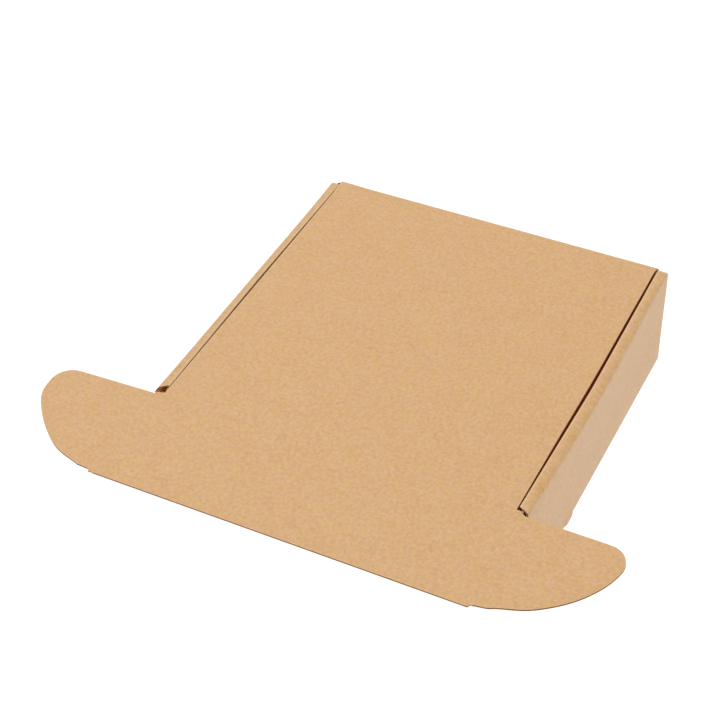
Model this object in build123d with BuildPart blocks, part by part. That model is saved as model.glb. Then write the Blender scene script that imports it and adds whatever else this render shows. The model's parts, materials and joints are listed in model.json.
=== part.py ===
from build123d import *
from math import cos, radians, sin, sqrt
import os

# A mailer box folded from one die-cut sheet of thin corrugated board. The origin is the middle of the
# tray's underside, the back wall is at +Y and the tuck flap reaches out towards -Y.
# The lid is closed, and the tuck flap and its two ears lie straight out in the lid's plane.

# Outside size of the folded tray
outer_width = 281.0
outer_depth = 275.0
outer_height = 88.0

# Board: two liners with a waved medium between them
board = 1.5
liner = 0.3
flute_pitch = 3.3
flute_half_base = 1.4
flute_tip = 0.3
fold_radius = 1.8

# Clearances between layers that were folded onto each other
ear_clearance = 0.25
layer_gap = 0.1
seat_gap = 0.2
lid_gap = 0.9
front_slack = 0.5
crease_gap = 0.15
relief_gap = 0.1
overrun = 10.0

# Flaps, ears and locks
flap_length = 87.0
corner_flap_length = 65.0
corner_flap_taper = 5.0
corner_flap_round = 4.0
ear_notch = 2.15
ear_notch_offset = 0.8
ear_root_setback = 2.15
ear_root_radius = 5.0
ear_back_length = 61.4
ear_back_drop = 2.6
ear_tip_radius = 15.4
right_ear_lift = 2.5
tab_length = 20.0
tab_from_front = 84.0
tab_play = 0.3
pushed_out = 1.2
pushed_height = 4.5
pushed_taper = 8.0

# Curved edge of each ear, from its tip to the notch: distance out from the ear's crease, and ahead of the
# lid's front crease. The two are not quite mirror images. The tip turns through the angle given first.
left_ear_edge = (88, (74.2, 35.0), (67.8, 46.0), (57.0, 58.7), (44.4, 70.0), (30.1, 78.9), (14.1, 83.9))
right_ear_edge = (100, (72.4, 34.3), (66.6, 45.2), (56.4, 58.1), (43.6, 68.9), (29.2, 76.8), (13.7, 82.0))

# Ends of the roll-over strips, measured back from the tray's front face or forward from its back face
strip_front_inner = 6.0
strip_front_outer = 0.8
strip_back_inner = 2.0
strip_back_outer = 0.3

# Planes and faces that follow from these
half_width = outer_width / 2
half_depth = outer_depth / 2
mid_board = board / 2
crease_z = outer_height - mid_board
lid_underside = outer_height - board
wall_top = lid_underside - seat_gap
ear_crease_x = half_width - board - ear_clearance - mid_board
corner_flap_x = ear_crease_x - mid_board - ear_clearance
inner_panel_x = corner_flap_x - 2 * board - layer_gap
lid_half_width = inner_panel_x - lid_gap
back_crease_y = half_depth - mid_board
front_crease_y = -(half_depth + front_slack + mid_board)
flap_front_y = front_crease_y - flap_length
ear_root_y = front_crease_y - ear_root_setback
ear_middle_y = (ear_root_y + flap_front_y) / 2
ear_crease_length = ear_root_y - flap_front_y
wall_half_width = corner_flap_x - fold_radius
panel_foot = board + seat_gap
fold_top = fold_radius + seat_gap
strip_ends = ((-1, strip_front_inner, strip_front_outer), (1, strip_back_inner, strip_back_outer))


def crease_x_at_lid_edge():
    """Half the length of the crease between lid and tuck flap, where the ear's root curve crosses it."""
    rise = front_crease_y - ear_root_y
    return lid_half_width + ear_root_radius - sqrt(ear_root_radius**2 - (ear_root_radius - rise) ** 2)


def flute_channels(length):
    """Open channels of a board of this length in the current sketch, pointing up and down by turns."""
    count = int(length / flute_pitch) - 1
    base = mid_board - liner
    with GridLocations(flute_pitch, 0, count, 1):
        Polygon((-flute_half_base, -base), (flute_half_base, -base), (0, flute_tip), align=None)
    with GridLocations(flute_pitch, 0, count - 1, 1):
        Polygon((-flute_half_base, base), (0, -flute_tip), (flute_half_base, base), align=None)


def inner_half_of_fold(outward):
    """Board that a crease crushes on its inner side, in a sketch whose origin is the crease's axis."""
    Polygon(
        (outward * relief_gap, 0),
        (outward * (board + relief_gap), -board),
        (-outward * board, -board),
        (-outward * board, 0),
        align=None,
    )


with BuildPart() as tray:
    # Roll-over side wall: base edge, outer panel, top strip and inner panel are one folded strip of board.
    with BuildSketch(Plane.XZ):
        with BuildLine():
            FilletPolyline(
                (wall_half_width - overrun, mid_board),
                (half_width - mid_board, mid_board),
                (half_width - mid_board, crease_z),
                (inner_panel_x + mid_board, crease_z),
                (inner_panel_x + mid_board, panel_foot),
                radius=fold_radius - mid_board,
            )
        trace(line_width=board)
    extrude(amount=half_depth, both=True)

    # The top strip ends short of both faces of the tray, on a slant that leaves the ear's slot open.
    with BuildSketch(Plane.XY.offset(wall_top)):
        for end, inner, outer in strip_ends:
            with BuildLine():
                Polyline(
                    (inner_panel_x - 1, end * (half_depth + 1)),
                    (half_width + 1, end * (half_depth + 1)),
                    (half_width + 1, end * (half_depth - outer)),
                    (half_width - board, end * (half_depth - outer)),
                    (inner_panel_x, end * (half_depth - inner)),
                    (inner_panel_x - 1, end * (half_depth - inner)),
                    close=True,
                )
            make_face()
    extrude(amount=2 * board, mode=Mode.SUBTRACT)

    # The inner panel is as long as the strip's inner edge.
    with BuildSketch(Plane.YZ.offset(inner_panel_x - layer_gap)):
        for end, inner, _ in strip_ends:
            with Locations((end * (half_depth - inner + overrun / 2), outer_height / 2)):
                Rectangle(overrun, outer_height)
    extrude(amount=layer_gap + board + layer_gap / 2, mode=Mode.SUBTRACT)

    # The base ends before the corner, where the sheet is cut between side wall and corner flap.
    with BuildSketch(Plane.XY):
        for end in (-1, 1):
            with Locations((half_width - board - overrun, end * half_depth)):
                Rectangle(2 * overrun, 2 * fold_top)
    extrude(amount=board + layer_gap, mode=Mode.SUBTRACT)

    # Corner flaps turn off the front and back walls and stand between the side wall's two panels.
    for end in (-1, 1):
        with BuildSketch(Plane.XY.offset(fold_top)):
            with BuildLine():
                FilletPolyline(
                    (wall_half_width - fold_radius, end * (half_depth - mid_board)),
                    (corner_flap_x - mid_board, end * (half_depth - mid_board)),
                    (corner_flap_x - mid_board, end * (half_depth - 2 * fold_radius)),
                    radius=fold_radius - mid_board,
                )
            trace(line_width=board)
        extrude(amount=wall_top - fold_top)

        with BuildSketch(Plane.YZ.offset(corner_flap_x - board)):
            with BuildLine():
                Polyline(
                    (end * (half_depth - fold_radius), fold_top),
                    (end * (half_depth - fold_radius), wall_top),
                    (end * (half_depth - corner_flap_length), wall_top - corner_flap_taper),
                    (end * (half_depth - corner_flap_length), fold_top + corner_flap_taper),
                    close=True,
                )
            make_face()
            free_corners = vertices().sort_by(Axis.Y)[-2:] if end < 0 else vertices().sort_by(Axis.Y)[:2]
            fillet(free_corners, radius=corner_flap_round)
        extrude(amount=board)

    mirror(about=Plane.YZ)

    # Front wall, base and back wall are one strip of board, folded up at both ends.
    with BuildSketch(Plane.YZ):
        with BuildLine():
            FilletPolyline(
                (mid_board - half_depth, wall_top),
                (mid_board - half_depth, mid_board),
                (half_depth - mid_board, mid_board),
                (half_depth - mid_board, wall_top),
                radius=fold_radius - mid_board,
            )
        trace(line_width=board)
    extrude(amount=wall_half_width, both=True)

    # Locking tabs on the inner panels' lower edges drop into slots in the base.
    tab_places = GridLocations(
        2 * inner_panel_x + board,
        outer_depth - 2 * tab_from_front,
        2,
        2,
    )
    with BuildSketch(Plane.XY):
        with tab_places:
            Rectangle(board + 2 * tab_play, tab_length + 2 * tab_play)
    extrude(amount=board + layer_gap, mode=Mode.SUBTRACT)
    with BuildSketch(Plane.XY.offset(seat_gap)):
        with tab_places:
            Rectangle(board, tab_length)
    extrude(amount=panel_foot)

    # The front right tab has pushed the fold beside it a little way out.
    tab_start = tab_from_front - half_depth - tab_length / 2
    with BuildSketch(Plane.XY.offset(seat_gap)):
        with BuildLine():
            bulge = ThreePointArc(
                (half_width, tab_start),
                (half_width + pushed_out, tab_start + tab_length / 2),
                (half_width, tab_start + tab_length),
            )
            Polyline(
                bulge @ 1,
                (half_width - board, tab_start + tab_length),
                (half_width - board, tab_start),
                bulge @ 0,
            )
        make_face()
    extrude(amount=pushed_height, taper=pushed_taper)

with BuildPart() as lid:
    # The lid widens where its sides run out into the roots of the ears.
    with BuildSketch(Plane.XY.offset(lid_underside)):
        with BuildLine():
            edge = Polyline(
                (0, back_crease_y),
                (lid_half_width, back_crease_y),
                (lid_half_width, ear_root_y + ear_root_radius),
            )
            root = RadiusArc(edge @ 1, (crease_x_at_lid_edge(), front_crease_y), ear_root_radius)
            Line(root @ 1, (0, front_crease_y))
            mirror(about=Plane.YZ)
        make_face()
    extrude(amount=board)
    with BuildSketch(Plane.YZ):
        with Locations((front_crease_y, crease_z)):
            inner_half_of_fold(1)
    extrude(amount=half_width, both=True, mode=Mode.SUBTRACT)

    # Flutes run from side to side and are open at both cut edges.
    with BuildSketch(Plane.YZ):
        with Locations(((back_crease_y + front_crease_y) / 2, crease_z)):
            flute_channels(back_crease_y - front_crease_y)
    extrude(amount=half_width, both=True, mode=Mode.SUBTRACT)

    # The folds at the back wall and at the tuck flap keep a rounded bead of board.
    for crease_y, reach in ((back_crease_y, lid_half_width), (front_crease_y, crease_x_at_lid_edge())):
        with BuildSketch(Plane.YZ):
            with Locations((crease_y, crease_z)):
                Circle(mid_board)
        extrude(amount=reach, both=True)

with BuildPart() as tuck_flap:
    with BuildSketch(Plane.XY.offset(lid_underside)):
        with BuildLine():
            root = RadiusArc(
                (crease_x_at_lid_edge(), front_crease_y),
                (ear_crease_x, ear_root_y),
                ear_root_radius,
            )
            Polyline(root @ 1, (ear_crease_x, flap_front_y), (0, flap_front_y))
            Line(root @ 0, (0, front_crease_y))
            mirror(about=Plane.YZ)
        make_face()
    extrude(amount=board)
    with BuildSketch(Plane.YZ):
        with Locations((front_crease_y, crease_z)):
            inner_half_of_fold(-1)
            Circle(mid_board + crease_gap)
    extrude(amount=half_width, both=True, mode=Mode.SUBTRACT)
    for side in (-1, 1):
        with BuildSketch(Plane.XZ.offset(-ear_middle_y)):
            with Locations((side * ear_crease_x, crease_z)):
                inner_half_of_fold(-side)
        extrude(amount=half_depth, both=True, mode=Mode.SUBTRACT)
        with BuildSketch(Plane.XZ.offset(-ear_middle_y)):
            with Locations((side * ear_crease_x, crease_z)):
                Circle(mid_board)
        extrude(amount=ear_crease_length / 2, both=True)


def ear_outline(tip_turn, *edge):
    """Outline of one ear in the current sketch: x outward from its crease, y as in the tray's frame."""
    back_edge = Line((0, ear_root_y), (ear_back_length, ear_root_y - ear_back_drop))
    tip = JernArc(back_edge @ 1, back_edge % 1, ear_tip_radius, -tip_turn)
    front_edge = Spline(
        tip @ 1,
        *((out, front_crease_y - ahead) for out, ahead in edge),
        (ear_notch_offset + ear_notch, flap_front_y + ear_notch),
        tangents=[tip % 1, (-1, 0)],
    )
    Polyline(front_edge @ 1, (ear_notch_offset, flap_front_y), (0, flap_front_y), (0, ear_root_y))


def make_ear(side, lift, edge):
    """One ear with its crease on the tuck flap's end, lifted by a few degrees out of the flap's plane."""
    out_x = side * cos(radians(lift))
    out_z = sin(radians(lift))
    up_x = -side * sin(radians(lift))
    up_z = cos(radians(lift))
    crease = (side * ear_crease_x, 0, crease_z)
    sheet = Plane(origin=crease, x_dir=(out_x, 0, out_z), z_dir=(side * up_x, 0, side * up_z))
    across = Plane(origin=crease, x_dir=(out_x, 0, out_z), z_dir=(0, -side, 0))
    with BuildPart() as ear:
        with BuildSketch(sheet):
            with BuildLine():
                ear_outline(*edge)
            make_face()
        extrude(amount=mid_board, both=True)
        with BuildSketch(across):
            inner_half_of_fold(1)
            Circle(mid_board + crease_gap)
        extrude(amount=2 * outer_depth, both=True, mode=Mode.SUBTRACT)

        # Flutes are crushed at the crease and open along the ear's curved edge.
        flute_start = 2 * board
        mouth = Plane(
            origin=(crease[0] + flute_start * out_x, ear_middle_y, crease_z + flute_start * out_z),
            x_dir=(0, side, 0),
            z_dir=(out_x, 0, out_z),
        )
        with BuildSketch(mouth):
            flute_channels(ear_crease_length)
        extrude(amount=half_width, mode=Mode.SUBTRACT)
    return ear.part


ear_left = make_ear(-1, 0, left_ear_edge)
ear_right = make_ear(1, right_ear_lift, right_ear_edge)

os.makedirs("parts", exist_ok=True)
for name, piece in (
    ("tray", tray.part),
    ("lid", lid.part),
    ("tuck_flap", tuck_flap.part),
    ("ear_left", ear_left),
    ("ear_right", ear_right),
):
    piece.label = name
    export_step(piece, f"parts/{name}.step")
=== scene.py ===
"""A mailer box of thin kraft corrugated board: lid closed, tuck flap and ears lying straight out.

Every piece of board is drawn on the flat sheet, as rows of v between two ends along u, and is built up from
layers of paper. A place function then folds it: it gives the point at u and v that lies w above the sheet's
middle. Pairs keyed by 1 and -1 are for the box's right and left side."""
import json
import math

import bpy
import numpy as np
from mathutils import Matrix, Vector


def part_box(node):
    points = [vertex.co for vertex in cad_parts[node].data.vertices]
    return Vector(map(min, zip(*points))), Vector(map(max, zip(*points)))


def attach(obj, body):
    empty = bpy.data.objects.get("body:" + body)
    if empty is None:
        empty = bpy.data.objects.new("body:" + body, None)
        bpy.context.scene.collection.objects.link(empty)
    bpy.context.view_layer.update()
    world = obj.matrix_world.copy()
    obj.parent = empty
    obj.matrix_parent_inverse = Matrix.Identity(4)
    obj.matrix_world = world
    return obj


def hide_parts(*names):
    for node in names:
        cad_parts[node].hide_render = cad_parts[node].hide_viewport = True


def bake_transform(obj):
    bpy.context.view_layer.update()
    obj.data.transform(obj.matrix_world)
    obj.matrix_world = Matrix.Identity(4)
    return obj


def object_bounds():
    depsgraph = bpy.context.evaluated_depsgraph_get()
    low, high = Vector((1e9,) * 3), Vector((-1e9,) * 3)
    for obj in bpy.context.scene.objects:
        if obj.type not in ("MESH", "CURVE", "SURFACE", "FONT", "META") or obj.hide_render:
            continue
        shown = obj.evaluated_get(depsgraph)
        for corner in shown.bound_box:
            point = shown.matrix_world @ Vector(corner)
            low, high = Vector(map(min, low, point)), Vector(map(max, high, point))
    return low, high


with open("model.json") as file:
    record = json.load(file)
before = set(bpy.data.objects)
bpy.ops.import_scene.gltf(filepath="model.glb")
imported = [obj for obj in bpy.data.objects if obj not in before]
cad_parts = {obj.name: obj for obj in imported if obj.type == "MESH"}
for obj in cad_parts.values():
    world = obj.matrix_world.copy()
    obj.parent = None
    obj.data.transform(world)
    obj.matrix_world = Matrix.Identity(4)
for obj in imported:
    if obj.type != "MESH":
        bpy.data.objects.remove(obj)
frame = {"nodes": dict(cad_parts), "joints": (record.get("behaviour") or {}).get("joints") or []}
cad_bounds = [list(corner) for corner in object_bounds()]

MM = 0.001

# Places that the frame gives, in metres
HINGE = {joint["name"]: joint["pos_m"] for joint in frame["joints"]}
tray_low, tray_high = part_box("tray")
lid_low, lid_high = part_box("lid")
HALF_WIDTH = -tray_low.x
HALF_DEPTH = tray_high.y
BOARD = lid_high.z - lid_low.z
CREASE_Z = HINGE["lid_hinge"][2]
BACK_CREASE_Y = HINGE["lid_hinge"][1]
FRONT_CREASE_Y = HINGE["flap_hinge"][1]
EAR_CREASE_X = HINGE["ear_right_hinge"][0]
FLAP_FRONT_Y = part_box("tuck_flap")[0].y

# The board's layers, and the washboard that the flutes leave on its faces
MIDDLE = BOARD / 2
LINER = 0.22 * MM
MEDIUM = 0.16 * MM
FLUTE_PITCH = 3.3 * MM
WASHBOARD = 0.03 * MM
WALL_WASHBOARD = 0.08 * MM

# Radii of the folds, and how far a crease reaches to each side
BEND = 1.05 * MM
TOP_BEND = 0.6 * MM
BACK_BEND = 0.5 * MM
CREASE_REACH = 1.6 * MM
CREASE_STEP = 0.2 * MM
FOLD_SLACK = 0.2 * MM

# How deep the creases are crushed, and how wide
CRUSH = 0.15 * MM
CRUSH_POWER = 1.2
BACK_CRUSH = 0.35 * MM
BACK_CRUSH_REACH = 1.2 * MM
EAR_GROOVE = 0.02 * MM
EAR_GROOVE_REACH = 0.4 * MM

# Cut edges are pinched thinner and frayed paler
PINCH = 0.15
PINCH_REACH = 0.4 * MM
PINCH_POWER = 1.5
FRAY = 0.25
FRAY_REACH = 0.3 * MM
EDGE_BAND = 1.3 * MM
EDGE_BAND_SHARE = 0.3
EDGE_PLACES = (0, 0.15, 0.4)
EDGE_STEPS = np.array((0.1, 0.3, 0.6, 1.0)) * MM

# Two places on the sheet closer than this are one
SNAP = 0.002 * MM

# Faces that meet at more than this shade as an edge
SHARP_FROM = math.radians(38)

# Where folds are worn pale, and where highlights are painted pale along edges and crowns: how far from the
# line, and how much
# A painted highlight along the lid's left edge, which faces the lamp
LID_EDGE_HIGHLIGHT = (0.5 * MM, 0.6)
FRONT_CREASE_WEAR = (0.5 * MM, 0.05)
BACK_CREASE_WEAR = (0.8 * MM, 0.15)
BASE_FOLD_WEAR = (1.2 * MM, 0.12)
# A painted highlight along the crown of each strip's inner fold, and how far it is shifted off the crown
CROWN_HIGHLIGHT = (0.4 * MM, 0.9)
CROWN_HIGHLIGHT_SHIFT = 0.2 * MM
# A painted highlight on the front end of the left inner panel, which stands in shadow: its reach and amount,
# and its length
PANEL_END_HIGHLIGHT = (1.0 * MM, 1.0)
PANEL_END_HIGHLIGHT_LENGTH = 8 * MM

# The tray's layers, outward from the middle
CORNER_FLAP_X = EAR_CREASE_X - 1.0 * MM
INNER_PANEL_X = CORNER_FLAP_X - 3.1 * MM
WALL_HALF_WIDTH = CORNER_FLAP_X - 1.8 * MM
SIDE_FOLD_X = 138.4 * MM

# Heights of what stands on the base, and of the front wall
WALL_TOP = 86.3 * MM
CORNER_FOOT = 2.0 * MM
PANEL_FOOT = 1.7 * MM
TAB_FOOT = 0.2 * MM

# The tabs under the inner panels and their slots in the base. The tabs lean in over the base's edge. The
# front right one pushes the wall's foot out: how far, up to what height, and from where along X.
TAB_Y = 53.5 * MM
TAB_HALF = 10.0 * MM
TAB_PLAY = 0.3 * MM
TAB_LEAN = 0.4 * MM
TAB_LEAN_OVER = 0.3 * MM
SEAM_PLAY = 0.05 * MM
SEAM_X = INNER_PANEL_X - SEAM_PLAY
PUSHED_OUT = 1.2 * MM
PUSHED_HEIGHT = 9 * MM
PUSHED_X = (136 * MM, 3 * MM)
PUSHED_STEEP = 1.6

# The corner flaps. The fold at their top has a relief behind it, and at the front right a bead on it.
CORNER_FLAP_LENGTH = 65 * MM
CORNER_FLAP_TAPER = 5 * MM
CORNER_FLAP_ROUND = 4 * MM
RELIEF_DEPTH = 10 * MM
RELIEF_LENGTH = 12 * MM
CORNER_BEAD = 1.3 * MM

# Ends of the roll-over strips, at their inner and outer fold, from the tray's front and back faces
STRIP_FRONT = {1: (4.2 * MM, 0.1 * MM), -1: (8.5 * MM, 1.2 * MM)}
STRIP_BACK = {1: (2.1 * MM, 3.2 * MM), -1: (4.0 * MM, 5.0 * MM)}
STRIP_ROUND = {1: 1.15, -1: 0.75}

# The strips' inner folds are pushed out in the middle: how far at most, how much less at a tray's half depth
# from there, and where
STRIP_LEAN = {1: (0.7 * MM, 2.1 * MM, -8 * MM), -1: (1.0 * MM, 1.15 * MM, 0.0)}
LEAN_ROUND = 0.06

# The side walls' top corners at the back are cut this much lower; their cut turns at these shares
BACK_DROP = {1: 0.5 * MM, -1: 4 * MM}
DROP_TURN = (0.7, 0.6)

# How far the inner panel stands forward of its strip's front end
PANEL_FRONT = {1: 0.0, -1: 5.0 * MM}

# The top of each side wall swells outward at its back and front end and by more between them: how much, where
# the most is, and how far from there it has died away. It does so over a height that starts above the base.
SWELL_ENDS = {1: (0.4 * MM, 0.7 * MM), -1: (0.6 * MM, 1.5 * MM)}
SWELL_MIDDLE = {1: (2.1 * MM, -15 * MM, 110 * MM), -1: (0.7 * MM, 0.0, 150 * MM)}
SWELL_Z = (20 * MM, 66 * MM)

# Between the ends the top fold is a soft shoulder: its radius, and how much harder it is at front and back
SHOULDER = 4.0 * MM
HARDER_FRONT = 0.5
HARDER_BACK = 0.9

# The right ear is lifted
LIFT = {1: math.radians(2.5), -1: 0.0}

# The notch beside each ear's crease: its outer corner from the crease, and how far back it reaches
NOTCH_OUT = {1: -1.6 * MM, -1: 2.1 * MM}
NOTCH_DEPTH = 2.15 * MM
NOTCH_EASE = 0.5 * MM

# The corner between the lid's side edge and the ear: v from the front crease, and how far out from the edge
ROOT_CORNER = {
    1: ((1.4 * MM, 2.3 * MM), (1.15 * MM, 3.3 * MM), (0.15 * MM, 3.8 * MM), (-0.65 * MM, 4.7 * MM)),
    -1: ((2.35 * MM, 0.0), (1.35 * MM, 0.2 * MM), (0.55 * MM, 1.0 * MM), (0.15 * MM, 2.5 * MM)),
}
ROOT_END = {1: -1.55 * MM, -1: -1.6 * MM}

# The right ear's front edge is cut back beside the notch: how far, and where along it
EASED = (0.9 * MM, 7 * MM, 6 * MM)

# Its back edge stands this much further back than the CAD's, from a share of its depth on
FULLER = 0.4 * MM
FULLER_FROM = 0.8
FULLER_OVER = 0.15

# The fold at the lid's back stands up a little, most at its left corner: where that starts, and over how far
BACK_RISE = 0.5 * MM
BACK_RISE_Y = (118 * MM, 18 * MM)
BACK_RISE_Z = (80 * MM, 6 * MM)
CORNER_RISE = 0.5 * MM
CORNER_RISE_X = (112 * MM, 20 * MM)

# Painted shade in the strips' inner folds, where they turn down beside the lid: from what share of the fold,
# and how far beyond it
FOLD_SHADE_FROM = 0.45
FOLD_SHADE_REACH = 2 * MM

# Papers, in the order of PAPERS below
OUTER, INNER, FLUTING_SHADE, CUT_AND_SHADE, WARM_BOUNCE = 0, 1, 2, 3, 4


class Fold:
    """The middle line of a folded board in one plane: its corners, and the radius of the bend at each."""

    def __init__(self, corners, radii):
        corners = [np.array(c, float) for c in corners]
        self.runs = []
        start = corners[0]
        s = 0.0
        for i, radius in enumerate(radii, 1):
            before = corners[i] - corners[i - 1]
            after = corners[i + 1] - corners[i]
            before /= np.linalg.norm(before)
            after /= np.linalg.norm(after)
            turn = math.atan2(before[0] * after[1] - before[1] * after[0], before @ after)
            reach = radius * math.tan(abs(turn) / 2)
            bend_start = corners[i] - before * reach
            length = float(np.linalg.norm(bend_start - start))
            self.runs.append((s, length, start, before, 0.0))
            s += length
            self.runs.append((s, radius * abs(turn), bend_start, before, math.copysign(1 / radius, turn)))
            s += radius * abs(turn)
            start = corners[i] + after * reach
        last = corners[-1] - start
        length = float(np.linalg.norm(last))
        self.runs.append((s, length, start, last / length, 0.0))
        self.length = s + length

    def at(self, s):
        """Point and left-hand normal at each length s along the line; both ends run on straight."""
        s = np.asarray(s, float)
        point = np.zeros(s.shape + (2,))
        normal = np.zeros(s.shape + (2,))
        for i, (first, _, start, way, curve) in enumerate(self.runs):
            here = s >= first if i else np.ones(s.shape, bool)
            t = (s - first)[here][:, None]
            left = np.array((-way[1], way[0]))
            if curve == 0:
                point[here] = start + way * t
                normal[here] = left
            else:
                angle = t * curve
                point[here] = start + (way * np.sin(angle) + left * (1 - np.cos(angle))) / curve
                normal[here] = left * np.cos(angle) - way * np.sin(angle)
        return point, normal

    def bend(self, number):
        """Lengths along the line at which one of the bends starts and ends."""
        first, length = self.runs[2 * number + 1][:2]
        return first, first + length


def smooth_step(t):
    t = np.clip(t, 0, 1)
    return t * t * (3 - 2 * t)


def ramp(x, start, over):
    """0 up to the start, then smoothly to 1."""
    return smooth_step((x - start) / over)


def swapped(line):
    """A line of (v, u) as (u, v), or the other way round."""
    return [(b, a) for a, b in line]


def distance_to(u, v, lines):
    """Distance on the flat sheet from each point to the nearest of some open polylines."""
    nearest = np.full(u.shape, 1.0)
    for line in lines:
        for (u0, v0), (u1, v1) in zip(line[:-1], line[1:]):
            du, dv = u1 - u0, v1 - v0
            t = np.clip(((u - u0) * du + (v - v0) * dv) / max(du * du + dv * dv, 1e-18), 0, 1)
            nearest = np.minimum(nearest, np.hypot(u - u0 - t * du, v - v0 - t * dv))
    return nearest


def rows_between(v0, v1, step, left, right, extra=()):
    """Rows across a panel: v, and where its board starts and ends along u. left and right list (v, u)."""
    left = np.array(left, float)
    right = np.array(right, float)
    wanted = list(np.arange(v0, v1, step)) + [v0, v1] + list(extra)
    for side in (left, right):
        wanted += [x for v in side[:, 0] for x in (v - SNAP, v + SNAP)]
    v = np.unique(np.clip(np.array(wanted), v0, v1))
    v = v[np.concatenate(([True], np.diff(v) > SNAP / 2))]
    rows = np.stack((v, np.interp(v, *left.T), np.interp(v, *right.T)), 1)
    return rows[rows[:, 2] - rows[:, 1] > SNAP]


def columns(rows, count):
    """Places along u in each row, closer together near the ends, where cut edges are pinched."""
    width = (rows[:, 2] - rows[:, 1])[:, None]
    band = np.minimum(EDGE_BAND, EDGE_BAND_SHARE * width)
    near = np.array(EDGE_PLACES)[None, :]
    middle = np.linspace(0, 1, count)[None, :]
    start = rows[:, 1][:, None]
    inner = start + band + (width - 2 * band) * middle
    return np.concatenate((start + band * near, inner, start + width - band * near[:, ::-1]), 1)


def top_face(u, v):
    return 0 * v + MIDDLE


def crushed(away):
    """Height of the lower face of a board that a crease has crushed from below, this far from the crease."""
    return -MIDDLE + (MIDDLE + CRUSH) * (1 - np.clip(np.abs(away) / CREASE_REACH, 0, 1)) ** CRUSH_POWER


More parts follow.
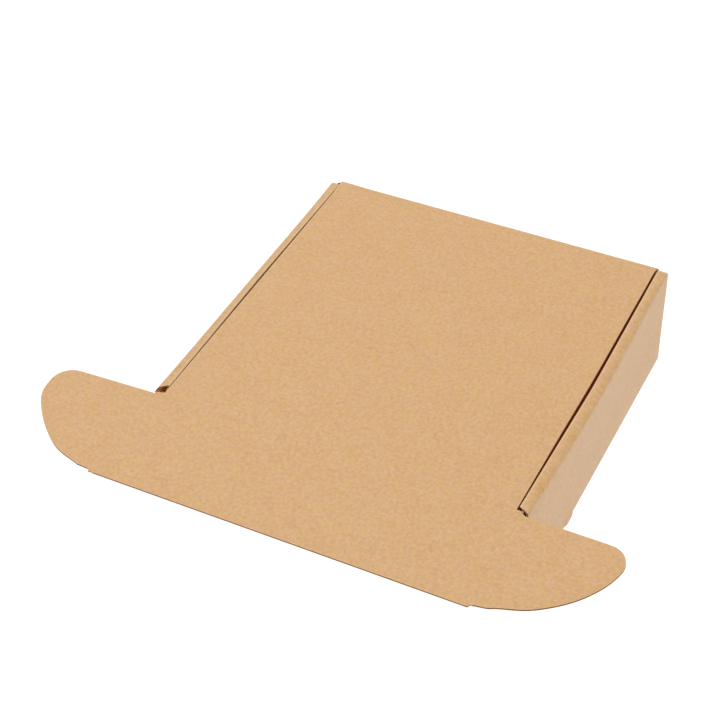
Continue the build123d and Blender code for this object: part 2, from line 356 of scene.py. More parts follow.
class Board:
    """One piece of board, put together from closed layers of paper."""

    def __init__(self, name):
        self.name = name
        self.points, self.sheet, self.wear = [], [], []
        self.faces, self.papers = [], []
        self.count = 0

    def layer(self, rows, low, high, place, papers, cuts=(), wear_and_highlight_lines=(), along=6, u_places=None):
        """Adds a closed slab between two heights in the board. papers: of its low, high and edge faces; the
        second may be a function of u. cuts: lines that the sheet is cut along. After them come the pale
        lines, some worn pale along creases and some painted pale as highlights, each with its reach and
        amount.
        u_places: more places along u for its columns."""
        u = columns(rows, along)
        if u_places is not None:
            more = np.clip(np.array(u_places)[None, :], rows[:, 1:2], rows[:, 2:3])
            u = np.sort(np.concatenate((u, more), 1), 1)
        v = np.repeat(rows[:, :1], u.shape[1], 1)
        to_cut = distance_to(u, v, cuts)
        pinch = 1 - PINCH * np.exp(-((to_cut / PINCH_REACH) ** PINCH_POWER))
        fray_and_highlight = FRAY * np.exp(-to_cut / FRAY_REACH)
        # Worn lines and painted highlights make the paper paler still
        for line, reach, amount in wear_and_highlight_lines:
            fray_and_highlight = np.maximum(fray_and_highlight, amount * np.exp(-((distance_to(u, v, [line]) / reach) ** 2)))
        grids = []
        for height in (low, high):
            w = height(u, v) * pinch
            grids.append(place(u, v, w))
            self.points.append(grids[-1].reshape(-1, 3))
            self.sheet.append(np.stack((u, v, w), -1).reshape(-1, 3))
            self.wear.append(fray_and_highlight.reshape(-1))
        n, m = u.shape
        index = np.arange(n * m).reshape(n, m)
        bottom = index + self.count
        top = bottom + n * m
        self.count += 2 * n * m

        def quads(a, b, c, d):
            return np.stack([x.reshape(-1) for x in (a, b, c, d)], 1)

        sides = (
            (quads(bottom[:-1, :-1], bottom[1:, :-1], bottom[1:, 1:], bottom[:-1, 1:]), papers[0]),
            (quads(top[:-1, :-1], top[:-1, 1:], top[1:, 1:], top[1:, :-1]), papers[1]),
            (quads(bottom[0, :-1], bottom[0, 1:], top[0, 1:], top[0, :-1]), papers[2]),
            (quads(bottom[-1, 1:], bottom[-1, :-1], top[-1, :-1], top[-1, 1:]), papers[2]),
            (quads(bottom[1:, 0], bottom[:-1, 0], top[:-1, 0], top[1:, 0]), papers[2]),
            (quads(bottom[:-1, -1], bottom[1:, -1], top[1:, -1], top[:-1, -1]), papers[2]),
        )

        # A place function may mirror the sheet, and the faces still have to look outward
        i, j = n // 2, m // 2
        across = grids[1][i, j] - grids[0][i, j]
        facing = np.cross(grids[1][i, j] - grids[1][i, j - 1], grids[1][i, j] - grids[1][i - 1, j])
        if facing @ across < 0:
            sides = tuple((q[:, ::-1], paper) for q, paper in sides)
        middle_u = ((u[1:, 1:] + u[:-1, :-1]) / 2).reshape(-1)
        for q, paper in sides:
            self.faces.append(q)
            self.papers.append(paper(middle_u) if callable(paper) else np.full(len(q), paper))

    def fluted(self, v0, v1, left, right, place, cuts=(), wear_and_highlight_lines=(), along=6, extra=(), u_places=None,
               washboard=WASHBOARD, papers=(INNER, OUTER)):
        """Adds two liners, of the papers given, with the waved medium between them."""
        rows = rows_between(v0, v1, FLUTE_PITCH / 8, left, right, extra)
        fine_rows = rows_between(v0, v1, FLUTE_PITCH / 12, left, right, extra)
        inside = MIDDLE - LINER

        def ripple(v):
            return washboard * (0.5 - 0.5 * np.cos(2 * math.pi * v / FLUTE_PITCH))

        def wave(v):
            return (inside - MEDIUM / 2) * np.cos(2 * math.pi * v / FLUTE_PITCH)

        # Faces inside the board and the medium take the fluting's painted shade; cut faces take the cut
        # edge's brown, which is partly painted shade
        layers = (
            (rows, lambda u, v: 0 * v + inside, lambda u, v: MIDDLE - ripple(v), (FLUTING_SHADE, papers[1], CUT_AND_SHADE)),
            (rows, lambda u, v: ripple(v + FLUTE_PITCH / 2) - MIDDLE, lambda u, v: 0 * v - inside,
             (papers[0], FLUTING_SHADE, CUT_AND_SHADE)),
            (fine_rows, lambda u, v: wave(v) - MEDIUM / 2, lambda u, v: wave(v) + MEDIUM / 2,
             (FLUTING_SHADE, FLUTING_SHADE, CUT_AND_SHADE)),
        )
        for layer_rows, low, high, of_layer in layers:
            self.layer(layer_rows, low, high, place, of_layer, cuts, wear_and_highlight_lines, along, u_places)

    def make(self):
        """The Blender object, with the sheet's own coordinates for the materials."""
        mesh = bpy.data.meshes.new(self.name)
        points = np.concatenate(self.points)
        faces = np.concatenate(self.faces)
        mesh.vertices.add(len(points))
        mesh.vertices.foreach_set("co", points.astype(np.float32).ravel())
        mesh.loops.add(faces.size)
        mesh.loops.foreach_set("vertex_index", faces.astype(np.int32).ravel())
        mesh.polygons.add(len(faces))
        mesh.polygons.foreach_set("loop_start", np.arange(0, faces.size, 4, dtype=np.int32))
        mesh.polygons.foreach_set("material_index", np.concatenate(self.papers).astype(np.int32))
        mesh.update(calc_edges=True)
        mesh.validate()
        sheet = mesh.attributes.new("sheet", "FLOAT_VECTOR", "POINT")
        sheet.data.foreach_set("vector", np.concatenate(self.sheet).astype(np.float32).ravel())
        # How pale each point is, from wear and from painted highlights
        wear = mesh.attributes.new("wear", "FLOAT", "POINT")
        wear.data.foreach_set("value", np.concatenate(self.wear).astype(np.float32))
        mesh.shade_smooth()
        mesh.set_sharp_from_angle(angle=SHARP_FROM)
        for material in PAPERS:
            mesh.materials.append(material)
        piece = bpy.data.objects.new(self.name, mesh)
        bpy.context.scene.collection.objects.link(piece)
        return piece


def add_node(tree, kind, inputs=(), **settings):
    node = tree.nodes.new(kind)
    for name, value in settings.items():
        setattr(node, name, value)
    for socket, value in dict(inputs).items():
        if isinstance(value, bpy.types.NodeSocket):
            tree.links.new(value, node.inputs[socket])
        else:
            node.inputs[socket].default_value = value
    return node


# Colours of the paper: plain; worn or pale, also used for painted highlights; dark flecks; a dark brown of
# painted shade for the waved medium and faces hidden inside the board; and a painted red glow
KRAFT = (0.614, 0.3595, 0.150)
PALE = (0.78, 0.56, 0.33)
DARK = (0.3, 0.15, 0.06)
SHADED = (0.3, 0.11, 0.035)
PAINTED_GLOW = (1.0, 0.22, 0.1, 1.0)

# Fibres run along v, across the flutes: how the sheet's millimetres are scaled for their noise
FIBRE_SCALE = (3.2, 0.55, 1.0)

# Darker pulp is redder too: how far red, green and blue follow the shade
SHADE_OF_CHANNELS = (1.0, 1.6, 2.8)

# Patches of the pulp are yellower or pinker than the rest
WARM_TINT = (1.0, 1.0, 0.88)
COOL_TINT = (1.0, 0.985, 1.12)
TINT_OFFSET = (71.0, 37.0, 13.0)

# One fleck in some of the cells: how far it reaches from the cell's middle, which cells, and how strong
FLECK_REACH = (0.07, 0.16)
DARK_FLECK = (0.78, 0.75)
PALE_FLECK = (0.86, 0.4)


def kraft(name, colour, roughness, tooth, gloss, painted_glow=0.0, pale=PALE):
    """Kraft paper: mottled, with fibres across the flutes, a few flecks, and paler where it is worn and where
    a
    highlight is painted. tooth: how rough its relief is. Its glow strength is painted light: a faint red glow
    in
    the paper, which no lamp gives. pale: the colour of worn places, painted highlights and pale flecks."""
    material = bpy.data.materials.new(name)
    material.use_nodes = True
    tree = material.node_tree
    tree.nodes.clear()

    def math_node(operation, a, b, c=0.0):
        return add_node(tree, "ShaderNodeMath", {0: a, 1: b, 2: c}, operation=operation).outputs[0]

    def vector_node(operation, a, b):
        second = "Scale" if operation == "SCALE" else 1
        return add_node(tree, "ShaderNodeVectorMath", {0: a, second: b}, operation=operation).outputs[0]

    def noise(vector, scale, detail, rough=0.55):
        inputs = {"Vector": vector, "Scale": scale, "Detail": detail, "Roughness": rough}
        return add_node(tree, "ShaderNodeTexNoise", inputs).outputs["Fac"]

    def mix(share, a, b):
        inputs = {0: share, 6: a, 7: b}
        return add_node(tree, "ShaderNodeMix", inputs, data_type="RGBA", clamp_factor=True).outputs[2]

    sheet = add_node(tree, "ShaderNodeAttribute", attribute_name="sheet").outputs["Vector"]
    wear = add_node(tree, "ShaderNodeAttribute", attribute_name="wear").outputs["Fac"]
    in_mm = vector_node("SCALE", sheet, 1 / MM)
    along = vector_node("MULTIPLY", in_mm, FIBRE_SCALE)
    offset = vector_node("ADD", in_mm, TINT_OFFSET)

    mottle = noise(in_mm, 0.42, 3.0)
    cloud = noise(in_mm, 0.045, 2.0)
    fibre = noise(along, 1.0, 3.0, 0.6)
    grain = noise(in_mm, 2.6, 2.0, 0.6)

    # Light and dark of the pulp, each noise about its middle
    shade = 0.0
    for value, amount in ((mottle, 0.38), (cloud, 0.06), (fibre, 0.15), (grain, 0.32)):
        shade = math_node("MULTIPLY_ADD", math_node("SUBTRACT", value, 0.5), amount, shade)
    shade = vector_node("ADD", vector_node("SCALE", SHADE_OF_CHANNELS, shade), (1.0, 1.0, 1.0))

    tone = math_node("MULTIPLY_ADD", noise(offset, 0.2, 3.0), 3.6, -1.3)
    warm, cool = ([c * k for c, k in zip(colour, tint)] + [1.0] for tint in (WARM_TINT, COOL_TINT))
    base = vector_node("MULTIPLY", mix(tone, warm, cool), shade)

    cell_inputs = {"Vector": along, "Scale": 0.22, "Randomness": 1.0}
    cells = add_node(tree, "ShaderNodeTexVoronoi", cell_inputs, feature="F1")
    chance = add_node(tree, "ShaderNodeSeparateColor", {0: cells.outputs["Color"]})
    near = add_node(
        tree, "ShaderNodeMapRange",
        {"Value": cells.outputs["Distance"], "From Min": FLECK_REACH[0], "From Max": FLECK_REACH[1],
         "To Min": 1.0, "To Max": 0.0},
    ).outputs[0]
    for channel, (threshold, strength), fleck in ((0, DARK_FLECK, DARK), (1, PALE_FLECK, pale)):
        has_one = math_node("GREATER_THAN", chance.outputs[channel], threshold)
        share = math_node("MULTIPLY", math_node("MULTIPLY", near, has_one), strength)
        base = mix(share, base, [*fleck, 1.0])
    # Worn places and painted highlights turn the paper pale
    wear_and_highlight_share = math_node("MULTIPLY", wear, math_node("MULTIPLY_ADD", fibre, 1.2, 0.35))
    base = mix(wear_and_highlight_share, base, [*pale, 1.0])

    relief = math_node("MULTIPLY_ADD", fibre, 0.6, math_node("MULTIPLY", grain, 0.5))
    bump = add_node(
        tree, "ShaderNodeBump", {"Height": relief, "Strength": tooth, "Distance": 0.06 * MM}
    ).outputs[0]
    rough = math_node("MULTIPLY_ADD", grain, 0.14, roughness - 0.07)
    # Its emission is painted light, a faint red glow in the paper itself
    shader = add_node(
        tree, "ShaderNodeBsdfPrincipled",
        {"Base Color": base, "Roughness": rough, "Normal": bump, "Specular IOR Level": gloss, "IOR": 1.5,
         "Sheen Weight": 0.3 * gloss, "Sheen Roughness": 0.4,
         "Emission Color": PAINTED_GLOW, "Emission Strength": painted_glow},
    )
    add_node(tree, "ShaderNodeOutputMaterial", {"Surface": shader.outputs[0]})
    return material


PAPERS = (
    kraft("kraft_outer_liner", KRAFT, 0.55, 0.5, 0.6),
    # The inner liner carries a faint painted red glow
    kraft("kraft_inner_liner", [c * 0.95 for c in KRAFT], 0.65, 0.5, 0.15, 0.03),
    # The fluting's dark brown is painted shade, standing in for the shadow in flutes, slots and hidden faces
    kraft("kraft_fluting", SHADED, 0.8, 0.6, 0.05, 0.01, pale=KRAFT),
    # The cut edge's brown is partly the board's own cut face and partly painted shade, darkened for the gaps
    # it lines
    kraft("kraft_cut_edge", (0.47, 0.225, 0.078), 0.75, 0.6, 0.1),
    # A warm bounce of light painted on the left double wall's hidden inner liner, seen through its mouth
    kraft("kraft_inside_double_wall", (0.72, 0.29, 0.06), 0.8, 0.5, 0.05),
)

# One sheet from the lid's front crease over the lid, down the back, under the goods and up the front, where
# v is the length along it. The tuck flap is its straight end before v = 0.
SPINE = Fold(
    (
        (FRONT_CREASE_Y, CREASE_Z),
        (BACK_CREASE_Y, CREASE_Z),
        (BACK_CREASE_Y, MIDDLE),
        (MIDDLE - HALF_DEPTH, MIDDLE),
        (MIDDLE - HALF_DEPTH, WALL_TOP),
    ),
    (BACK_BEND, BEND, BEND),
)
FLAP_FRONT = FLAP_FRONT_Y - FRONT_CREASE_Y
LID_END = BACK_CREASE_Y - FRONT_CREASE_Y - CREASE_REACH
BACK_START = SPINE.bend(0)[1] + CREASE_REACH - BACK_BEND


def on_spine(u, v, w):
    point, normal = SPINE.at(v)
    y = point[..., 0] + normal[..., 0] * w
    z = point[..., 1] + normal[..., 1] * w
    rise = BACK_RISE + CORNER_RISE * ramp(-u, *CORNER_RISE_X)
    z = z + rise * ramp(y, *BACK_RISE_Y) * ramp(z, *BACK_RISE_Z)
    return np.stack((u, y, z), -1)


def reach_of(node, ys):
    """How far a flat CAD node reaches at the given places along Y, as (y, lowest x, highest x)."""
    mesh = frame["nodes"][node].data
    points = np.array([vertex.co for vertex in mesh.vertices])
    pairs = np.array([edge.vertices for edge in mesh.edges])
    a, b = points[pairs[:, 0]], points[pairs[:, 1]]
    found = []
    for y in ys:
        crossing = (a[:, 1] - y) * (b[:, 1] - y) <= 0
        crossing &= np.abs(a[:, 1] - b[:, 1]) > 1e-7
        t = (y - a[crossing, 1]) / (b[crossing, 1] - a[crossing, 1])
        x = a[crossing, 0] + t * (b[crossing, 0] - a[crossing, 0])
        found.append((y, x.min(), x.max()))
    return np.array(found)


# The lid's side edges. The right one is fuller in the middle, drawn in from a share of its length on, and
# flares at its end.
cad_edge = reach_of("lid", (0.0,))[0, 2]
LID_EDGE = {1: cad_edge - 0.6 * MM, -1: cad_edge + 0.3 * MM}
LID_FULL = 0.4 * MM
LID_FULL_REACH = 45 * MM
LID_DRAWN_IN = 1.1 * MM
LID_DRAWN_FROM = 0.4
LID_FLARE = 0.5 * MM
LID_FLARE_V = (LID_END - 6 * MM, 5 * MM)
LID_EDGE_POINTS = 60
ROOT_STEP = 0.3 * MM

# The back crease's right end is wider than the lid: how far from the lid's end its corner is, and how far out
# it stands there and at the wall
BACK_CORNER_V = 0.8 * MM
BACK_CORNER_OUT = 1.2 * MM
BACK_WALL_OUT = 1.6 * MM


def root_line(side):
    """The side edge of lid and tuck flap from the ear's crease to the lid's back end, as (v, u)."""
    edge = LID_EDGE[side]
    line = [(LID_END, edge)]
    if side > 0:
        line = []
        for v in np.linspace(LID_END, ROOT_CORNER[side][0][0] + SNAP, LID_EDGE_POINTS):
            share = np.clip((v / LID_END - LID_DRAWN_FROM) / (1 - LID_DRAWN_FROM), 0, 1)
            drawn = LID_DRAWN_IN * share ** 2
            full = LID_FULL * math.exp(-(((v + FRONT_CREASE_Y) / LID_FULL_REACH) ** 2))
            line.append((v, edge - drawn + full + LID_FLARE * ramp(v, *LID_FLARE_V)))
    line += [(v, edge + out) for v, out in ROOT_CORNER[side]]
    line.append((line[-1][0] - ROOT_STEP, EAR_CREASE_X))
    return [(v, side * u) for v, u in line][::-1]


def build_lid():
    left, right = root_line(-1), root_line(1)
    cuts = [swapped(left), swapped(right)]
    # The lid's left edge gets a painted highlight
    wear_and_highlight_lines = [(cuts[0], *LID_EDGE_HIGHLIGHT)]
    board = Board("lid_board")
    board.fluted(CREASE_REACH, LID_END, left, right, on_spine, cuts, wear_and_highlight_lines, along=10)
    piece = board.make()
    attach(piece, "lid")
    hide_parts("lid")


def build_flap():
    inner = EAR_CREASE_X - CREASE_REACH
    cuts = [[(-inner, FLAP_FRONT), (inner, FLAP_FRONT)]]
    sides = []
    for side in (-1, 1):
        root = [(v, u) for v, u in root_line(side) if abs(u) < inner]
        last = min(v for v, _ in root)
        sides.append([(FLAP_FRONT, side * inner), (last - SNAP, side * inner)] + root)
    board = Board("tuck_flap_board")
    board.fluted(FLAP_FRONT, -CREASE_REACH, *sides, on_spine, cuts, along=10, extra=FLAP_FRONT + EDGE_STEPS)
    piece = board.make()
    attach(piece, "tuck_flap")
    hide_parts("tuck_flap")


def build_front_crease():
    left, right = root_line(-1), root_line(1)
    rows = rows_between(-CREASE_REACH, CREASE_REACH, CREASE_STEP, left, right)
    cuts = [swapped(left), swapped(right)]
    wear_and_highlight_lines = [([(-HALF_WIDTH, 0), (HALF_WIDTH, 0)], *FRONT_CREASE_WEAR)]
    board = Board("front_crease")
    board.layer(
        rows, lambda u, v: crushed(v), top_face, on_spine, (INNER, OUTER, CUT_AND_SHADE), cuts, wear_and_highlight_lines, along=12
    )
    piece = board.make()
    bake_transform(piece)


def build_back_crease():
    corner = LID_EDGE[1] - LID_DRAWN_IN + LID_FLARE
    right = [(LID_END, corner), (LID_END + BACK_CORNER_V, corner + BACK_CORNER_OUT),
             (BACK_START, corner + BACK_WALL_OUT)]
    left = [(v, -LID_EDGE[-1]) for v, _ in right]
    rows = rows_between(LID_END, BACK_START, CREASE_STEP, left, right)
    middle = (LID_END + BACK_START) / 2

    def low(u, v):
        return -MIDDLE + BACK_CRUSH * smooth_step(1 - np.abs(v - middle) / BACK_CRUSH_REACH)

    cuts = [swapped(left), swapped(right)]
    wear_and_highlight_lines = [([(-HALF_WIDTH, middle), (HALF_WIDTH, middle)], *BACK_CREASE_WEAR)]
    board = Board("back_crease")
    board.layer(rows, low, top_face, on_spine, (INNER, OUTER, CUT_AND_SHADE), cuts, wear_and_highlight_lines, along=12)
    piece = board.make()
    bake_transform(piece)


EAR = {1: "ear_right", -1: "ear_left"}

# Rows that an ear's outline is measured in, and how far inside its ends they start
EAR_ROWS = 90
EAR_INSET = 0.01 * MM
EAR_CREASE_STEP = 1.5 * MM


def ear_outline(side):
    """One ear's outline on the flat sheet, as (v, u) from front to root, measured on the CAD ear."""
    low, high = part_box(EAR[side])
    depth = high.y - low.y
    spread = (1 - np.cos(np.linspace(0, math.pi, EAR_ROWS))) / 2
    outline = []
    for y, x_low, x_high in reach_of(EAR[side], low.y + EAR_INSET + (depth - 2 * EAR_INSET) * spread):
        out = max(x_high, -x_low) - EAR_CREASE_X
        out = (out - MIDDLE * math.sin(LIFT[side])) / math.cos(LIFT[side])
        v = y - FRONT_CREASE_Y
        back = y - low.y
        notch = NOTCH_OUT[side] + back
        if back < NOTCH_DEPTH:
            out = notch
        elif back < NOTCH_DEPTH + NOTCH_EASE:
            out = max(out, notch)
        if side > 0 and back < depth / 4:
            eased, at, reach = EASED
            v += eased * math.exp(-(((out - at) / reach) ** 2))
        elif side > 0:
            v += FULLER * ramp(back, depth * FULLER_FROM, depth * FULLER_OVER)
        outline.append((v, out))
    return [(v, EAR_CREASE_X + out) for v, out in sorted(outline)]


def ear_place(side):
    """The place function of an ear, which is lifted about its crease."""
    lift = LIFT[side]

    def place(u, v, w):
        out = u - EAR_CREASE_X
        x = EAR_CREASE_X + out * math.cos(lift) - w * math.sin(lift)
        z = CREASE_Z + out * math.sin(lift) + w * math.cos(lift)
        return np.stack((side * x, v + FRONT_CREASE_Y, z), -1)

    return place


def build_ear(side, outline):
    v_low, v_high = outline[0][0], outline[-1][0]
    start = EAR_CREASE_X + CREASE_REACH
    board = Board(EAR[side] + "_board")
    board.fluted(v_low, v_high, [(v_low, start), (v_high, start)], outline, ear_place(side),
                 [swapped(outline)], along=12, extra=[v for v, _ in outline])
    piece = board.make()
    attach(piece, EAR[side])
    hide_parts(EAR[side])


def build_ear_crease(side, outline):
    """The crease between tuck flap and ear; here the sheet's u runs across the crease."""
    near, far = EAR_CREASE_X - CREASE_REACH, EAR_CREASE_X + CREASE_REACH
    on_ear = ear_place(side)

    def on_crease(u, v, w):
        """The flap's side of the crease is level, and the ear's side takes up the ear's lift."""
        level = np.stack((side * u, v + FRONT_CREASE_Y, CREASE_Z + w), -1)
        share = ramp(u, near, 2 * CREASE_REACH)[..., None]
        return level * (1 - share) + on_ear(u, v, w) * share

    def high(u, v):
        return MIDDLE - EAR_GROOVE * np.exp(-(((u - EAR_CREASE_X) / EAR_GROOVE_REACH) ** 2))

    corner = EAR_CREASE_X + NOTCH_OUT[side]
    notch_end = FLAP_FRONT + NOTCH_DEPTH
    notch = [(FLAP_FRONT, min(corner, far)), (notch_end, min(corner + NOTCH_DEPTH, far)),
             (notch_end + SNAP, far)]
    root = [(max(outline[-1][0], ROOT_END[side]), far)]
    root += [(v, abs(u)) for v, u in root_line(side) if v > ROOT_END[side] and abs(u) > near]
    top = root[-1][0]
    rows = rows_between(FLAP_FRONT, top, EAR_CREASE_STEP, [(FLAP_FRONT, near), (top, near)], notch + root)
    cuts = [swapped(root), swapped(notch), [(0, FLAP_FRONT), (EAR_CREASE_X, FLAP_FRONT)]]
    board = Board(EAR[side] + "_crease")
    # Its cut faces take the fluting's dark brown of painted shade
    board.layer(
        rows, lambda u, v: crushed(u - EAR_CREASE_X), high, on_crease, (INNER, OUTER, FLUTING_SHADE), cuts, along=14
    )
    piece = board.make()
    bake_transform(piece)


def build_spine_walls():
    """Back wall, base and front wall."""
    base_start = SPINE.bend(1)[1] + FOLD_SLACK
    base_end = SPINE.bend(2)[0] - FOLD_SLACK
    right = [
        (BACK_START, WALL_HALF_WIDTH), (base_start, WALL_HALF_WIDTH), (base_start, SEAM_X),
        (base_end, SEAM_X), (base_end, WALL_HALF_WIDTH), (SPINE.length, WALL_HALF_WIDTH),
    ]
    left = [(v, -u) for v, u in right]
    cuts = [[(-WALL_HALF_WIDTH, SPINE.length), (WALL_HALF_WIDTH, SPINE.length)]]
    wear_and_highlight_lines = []
    fine = []
    for n in (1, 2):
        v = sum(SPINE.bend(n)) / 2
        wear_and_highlight_lines.append(([(-WALL_HALF_WIDTH, v), (WALL_HALF_WIDTH, v)], *BASE_FOLD_WEAR))
        fine += list(np.linspace(*SPINE.bend(n), 9))
    board = Board("tray_base_and_walls")
    board.fluted(BACK_START, SPINE.length, left, right, on_spine, cuts, wear_and_highlight_lines, along=8, extra=fine,
                 washboard=WALL_WASHBOARD)
    return board.make()


def lean(side, y):
    """How far the inner fold of a side's roll-over strip stands further out than the CAD's, at y."""
    most, fall, middle = STRIP_LEAN[side]
    return most - fall * (np.hypot((y - middle) / HALF_DEPTH, LEAN_ROUND) - LEAN_ROUND)


def slots_and_tabs(foot):
    """The slots in the base's edge and the tabs at an inner panel's foot, each as (v, u)."""
    slots, tabs = [], []
    out = INNER_PANEL_X + BOARD + SEAM_PLAY
    end = foot + PANEL_FOOT - TAB_FOOT
    for y in (-TAB_Y, TAB_Y):
        start, stop = y - TAB_HALF, y + TAB_HALF
        tabs += [(start, foot), (start, end), (stop, end), (stop, foot)]
        start, stop = start - TAB_PLAY, stop + TAB_PLAY
        slots += [(start, SEAM_X), (start, out), (stop, out), (stop, SEAM_X)]
    return slots, tabs


def build_side(side):
    """Side wall: a strip of the base, the outer panel, the roll-over strip and the inner panel."""
    inner_mid = INNER_PANEL_X + MIDDLE
    corners = (
        (SEAM_X, MIDDLE), (HALF_WIDTH - MIDDLE, MIDDLE), (HALF_WIDTH - MIDDLE, CREASE_Z),
        (inner_mid, CREASE_Z), (inner_mid, PANEL_FOOT),
    )
    line = Fold(corners, (BEND, TOP_BEND, BEND))
    soft_line = Fold(corners, (BEND, SHOULDER, BEND))
    marks, soft_marks = ((0, fold.bend(0)[1], fold.bend(2)[0], fold.length) for fold in (line, soft_line))
    foot = SEAM_X + line.length
    outer_fold_start, outer_fold_end = (SEAM_X + s for s in line.bend(1))
    inner_fold_start, inner_fold_end = (SEAM_X + s for s in line.bend(2))
    crest = (inner_fold_start + inner_fold_end) / 2
    swell_back, swell_front = SWELL_ENDS[side]
    swell_more, swell_at, swell_reach = SWELL_MIDDLE[side]

    def place(u, v, w):
        """The soft line ends at the foot, so the tabs past it hardly reach further down."""
        soft = (1 - np.where(v > 0, HARDER_BACK, HARDER_FRONT) * (v / HALF_DEPTH) ** 4)[..., None]
        point, normal = line.at(u - SEAM_X)
        soft_point, soft_normal = soft_line.at(np.interp(u - SEAM_X, marks, soft_marks))
        point = point + (soft_point - point) * soft
        normal = normal + (soft_normal - normal) * soft
        normal /= np.linalg.norm(normal, axis=-1, keepdims=True)
        x = point[..., 0] - normal[..., 0] * w
        z = point[..., 1] - normal[..., 1] * w
        inward = ramp(u, outer_fold_end, inner_fold_start - outer_fold_end)
        swell = swell_back + (swell_front - swell_back) * (0.5 - 0.5 * v / HALF_DEPTH)
        swell = swell + swell_more * np.maximum(1 - ((v - swell_at) / swell_reach) ** 2, 0)
        x = x + (swell * (1 - inward) + lean(side, v) * inward) * ramp(z, *SWELL_Z)
        if side > 0:
            near_tab = np.clip(1 - np.abs(v + TAB_Y) / TAB_HALF, 0, 1)
            low_down = smooth_step(1 - z / PUSHED_HEIGHT) * ramp(x, *PUSHED_X)
            x = x + PUSHED_OUT * smooth_step(near_tab * PUSHED_STEEP) * low_down
        x = x - TAB_LEAN * ramp(u, foot, TAB_LEAN_OVER)
        return np.stack((side * x, v, z), -1)

    # The base's edge with its slots, and the sheet's other edge: strip ends, panel ends and tabs
    slots, tabs = slots_and_tabs(foot)
    corner = HALF_DEPTH - CORNER_FOOT
    left = [(-HALF_DEPTH, SIDE_FOLD_X), (-corner, SIDE_FOLD_X), (-corner, SEAM_X)] + slots
    left += [(corner, SEAM_X), (corner, SIDE_FOLD_X), (HALF_DEPTH, SIDE_FOLD_X)]
    front_inner, front_outer = STRIP_FRONT[side]
    back_inner, back_outer = STRIP_BACK[side]
    drop = BACK_DROP[side]
    right = [(-HALF_DEPTH, outer_fold_start), (front_outer - HALF_DEPTH, outer_fold_start)]
    for t in np.linspace(0, 1, 7):
        across = outer_fold_start + (inner_fold_end - outer_fold_start) * t
        back = front_outer + (front_inner - front_outer) * t ** STRIP_ROUND[side]
        right.append((back - HALF_DEPTH, across))
    right += [(front_inner - HALF_DEPTH, foot)] + tabs
    right += [
        (HALF_DEPTH - back_inner, foot), (HALF_DEPTH - back_inner, inner_fold_end),
        (HALF_DEPTH - back_outer, outer_fold_start),
        (HALF_DEPTH - DROP_TURN[0] * back_outer, outer_fold_start - DROP_TURN[1] * drop),
        (HALF_DEPTH, outer_fold_start - drop),
    ]
    cuts = [swapped(right)]
    cuts += [[(SIDE_FOLD_X, end), (outer_fold_start, end)] for end in (-HALF_DEPTH, HALF_DEPTH)]
    # A painted highlight along the strip's crown
    highlight_at = crest - CROWN_HIGHLIGHT_SHIFT
    wear_and_highlight_lines = [([(highlight_at, -HALF_DEPTH), (highlight_at, HALF_DEPTH)], *CROWN_HIGHLIGHT)]
    fine = [SEAM_X + s for n in range(3) for s in np.linspace(*line.bend(n), 7)]
    fine += list(np.linspace(outer_fold_start - SHOULDER, outer_fold_end + SHOULDER / 2, 9))
    ends = [end * (HALF_DEPTH - step) for end in (-1, 1) for step in EDGE_STEPS]

    def outer_paper(u):
        """Past the strip's inner fold the outer liner faces into the box; in the fold it takes the cut edge's
        brown as painted shade.
        """
        in_fold = u > inner_fold_start + FOLD_SHADE_FROM * (inner_fold_end - inner_fold_start)
        return np.where(u > inner_fold_end + FOLD_SHADE_REACH, INNER, np.where(in_fold, CUT_AND_SHADE, OUTER))

    board = Board("tray_side_" + ("right" if side > 0 else "left"))
    # The double wall's hidden inner liner, seen only through the mouths, takes painted shade on the right and
    # a painted warm bounce of light on the left
    board.fluted(-HALF_DEPTH, HALF_DEPTH, left, right, place, cuts, wear_and_highlight_lines, along=8, u_places=fine, extra=ends,
                 washboard=WALL_WASHBOARD, papers=(WARM_BOUNCE if side < 0 else FLUTING_SHADE, outer_paper))
    if PANEL_FRONT[side]:
        end = front_inner - HALF_DEPTH
        start = end - PANEL_FRONT[side]
        cuts = [[(crest, start), (foot, start)]]
        # Its front end gets a painted highlight
        wear_and_highlight_lines = [([(crest, start), (crest + PANEL_END_HIGHLIGHT_LENGTH, start)], *PANEL_END_HIGHLIGHT)]
        board.fluted(start, end, [(start, crest), (end, crest)], [(start, foot), (end, foot)], place, cuts,
                     wear_and_highlight_lines, along=8, u_places=fine, washboard=WALL_WASHBOARD)
    return board.make()


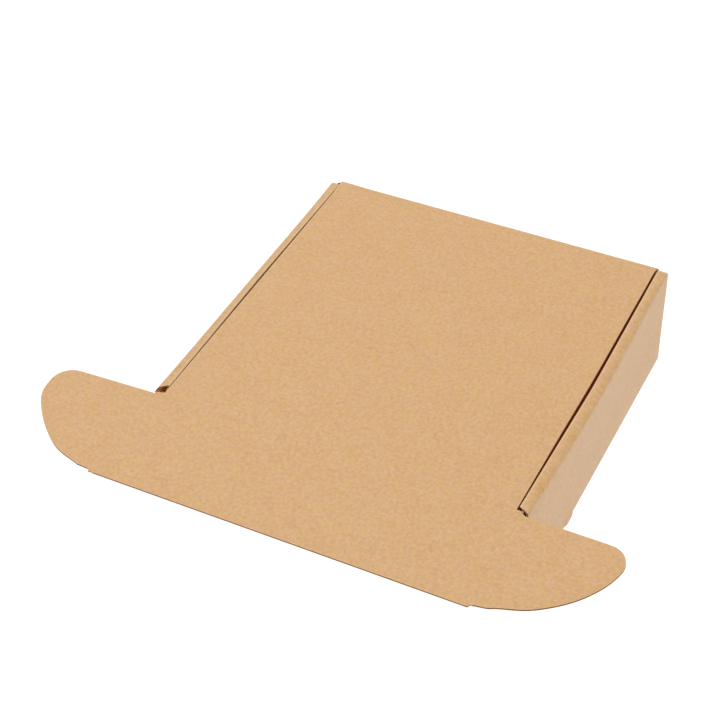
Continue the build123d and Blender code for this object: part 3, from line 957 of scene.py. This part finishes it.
def build_corner_flap(side, end):
    """A flap that turns off the end of the front or back wall and stands inside the side wall."""
    line = Fold(
        ((WALL_HALF_WIDTH, HALF_DEPTH - MIDDLE), (CORNER_FLAP_X - MIDDLE, HALF_DEPTH - MIDDLE),
         (CORNER_FLAP_X - MIDDLE, HALF_DEPTH - CORNER_FLAP_LENGTH)),
        (BEND,),
    )
    reach = WALL_HALF_WIDTH + line.length
    straight = WALL_HALF_WIDTH + line.bend(0)[1]

    def place(u, v, w):
        point, normal = line.at(u - WALL_HALF_WIDTH)
        x = point[..., 0] + normal[..., 0] * w
        y = point[..., 1] + normal[..., 1] * w
        x = x + np.maximum(lean(side, end * y), 0) * ramp(v, *SWELL_Z)
        return np.stack((side * x, end * y, v), -1)

    # The far part, with a rounded end
    round_end = []
    for a in np.linspace(0, math.pi / 2, 7):
        up = CORNER_FLAP_TAPER + CORNER_FLAP_ROUND * (1 - math.cos(a))
        round_end.append((up, reach - CORNER_FLAP_ROUND * (1 - math.sin(a))))
    relief_end = straight + RELIEF_LENGTH
    right = [(CORNER_FOOT, straight)] + [(CORNER_FOOT + up, u) for up, u in round_end]
    right += [(WALL_TOP - up, u) for up, u in round_end[::-1]] + [(WALL_TOP, relief_end)]
    left = [(CORNER_FOOT, relief_end), (WALL_TOP, relief_end)]

    # The near part, with the fold and the relief behind its top
    stands_up = CORNER_BEAD if end < 0 and side > 0 else 2 * SNAP
    bead_top = WALL_TOP + stands_up
    relief = WALL_TOP - RELIEF_DEPTH
    near_left = [(CORNER_FOOT, WALL_HALF_WIDTH), (WALL_TOP, WALL_HALF_WIDTH),
                 (bead_top, WALL_HALF_WIDTH + stands_up / 3)]
    near_right = [(CORNER_FOOT, relief_end), (relief, relief_end), (relief + 2 * SNAP, straight),
                  (WALL_TOP, straight), (bead_top, straight - stands_up / 3)]

    cuts = [swapped(right), [(WALL_HALF_WIDTH, WALL_TOP), (straight, WALL_TOP)]]
    fine = [WALL_HALF_WIDTH + s for s in np.linspace(*line.bend(0), 9)]
    board = Board(f"corner_flap_{'front' if end < 0 else 'back'}_{'right' if side > 0 else 'left'}")
    board.fluted(CORNER_FOOT, bead_top, near_left, near_right, place, cuts, along=6, u_places=fine)
    board.fluted(CORNER_FOOT, WALL_TOP, left, right, place, cuts, along=6)
    return board.make()


def build_tray():
    walls = build_spine_walls()
    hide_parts("tray")
    pieces = [walls] + [build_side(side) for side in (-1, 1)]
    pieces += [build_corner_flap(side, end) for side in (-1, 1) for end in (-1, 1)]
    for piece in pieces:
        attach(piece, "tray")


# The floor, the sky and the one lamp, in metres and watts
FLOOR_HALF = 60.0
FLOOR_GLOW = 1.02
SKY = 0.74
SOFTBOX_AT = (-1.0, 0.7, 3.3)
SOFTBOX_WIDTH = 3.0
SOFTBOX_WATTS = 51.0


def build_stage():
    """A pale floor that glows a little, as a lit table does, under a plain white sky and one softbox."""
    size = FLOOR_HALF
    mesh = bpy.data.meshes.new("floor")
    corners = [(-size, -size, 0), (size, -size, 0), (size, size, 0), (-size, size, 0)]
    mesh.from_pydata(corners, [], [(0, 1, 2, 3)])
    floor = bpy.data.objects.new("floor", mesh)
    pale = bpy.data.materials.new("pale_floor")
    pale.use_nodes = True
    shader = pale.node_tree.nodes["Principled BSDF"]
    shader.inputs["Base Color"].default_value = (0.1, 0.1, 0.1, 1)
    shader.inputs["Roughness"].default_value = 0.9
    shader.inputs["Specular IOR Level"].default_value = 0.1
    shader.inputs["Emission Color"].default_value = (1, 1, 1, 1)
    shader.inputs["Emission Strength"].default_value = FLOOR_GLOW
    mesh.materials.append(pale)
    bpy.context.scene.collection.objects.link(floor)
    floor.location.z = cad_bounds[0][2] - 0.05 * MM

    world = bpy.data.worlds.new("studio")
    bpy.context.scene.world = world
    world.use_nodes = True
    sky = world.node_tree.nodes["Background"]
    sky.inputs["Color"].default_value = (1, 1, 1, 1)
    sky.inputs["Strength"].default_value = SKY

    lamp = bpy.data.lights.new("softbox", "AREA")
    lamp.shape = "DISK"
    lamp.size = SOFTBOX_WIDTH
    lamp.energy = SOFTBOX_WATTS
    softbox = bpy.data.objects.new("softbox", lamp)
    bpy.context.scene.collection.objects.link(softbox)
    softbox.location = SOFTBOX_AT
    softbox.rotation_mode = "QUATERNION"
    softbox.rotation_quaternion = (-softbox.location).to_track_quat("-Z", "Y")


# The photograph's camera, worked out from the box's straight edges: its angles in degrees, what it looks at,
# how far off it stands, and its focal length in pixels of the photograph
CAMERA_AZIMUTH, CAMERA_ELEVATION, CAMERA_ROLL = 27.63, 41.63, -1.82
CAMERA_TARGET = Vector((-24.64, -49.48, 88.0)) * MM
CAMERA_DISTANCE = 1268.1 * MM
FOCAL_PIXELS = 1781.3
IMAGE_PIXELS = 720
SENSOR_WIDTH = 36


def build_camera():
    azimuth, elevation, roll = (math.radians(a) for a in (CAMERA_AZIMUTH, CAMERA_ELEVATION, CAMERA_ROLL))
    back = Vector((
        math.sin(azimuth) * math.cos(elevation), -math.cos(azimuth) * math.cos(elevation), math.sin(elevation)
    ))
    level = Vector((math.cos(azimuth), math.sin(azimuth), 0))
    up = level.cross(-back)
    right = level * math.cos(roll) + up * math.sin(roll)
    up = up * math.cos(roll) - level * math.sin(roll)
    camera = bpy.data.objects.new("camera", bpy.data.cameras.new("camera"))
    bpy.context.scene.collection.objects.link(camera)
    camera.data.sensor_width = SENSOR_WIDTH
    camera.data.lens = SENSOR_WIDTH * FOCAL_PIXELS / IMAGE_PIXELS
    turn = Matrix((right, up, back)).transposed().to_4x4()
    camera.matrix_world = Matrix.Translation(CAMERA_TARGET + back * CAMERA_DISTANCE) @ turn
    bpy.context.scene.camera = camera


build_camera()
build_lid()
build_flap()
build_front_crease()
build_back_crease()
for side in (-1, 1):
    outline = ear_outline(side)
    build_ear(side, outline)
    build_ear_crease(side, outline)
build_tray()
build_stage()

bpy.context.scene.view_settings.view_transform = "Standard"
bpy.context.scene.view_settings.look = "None"
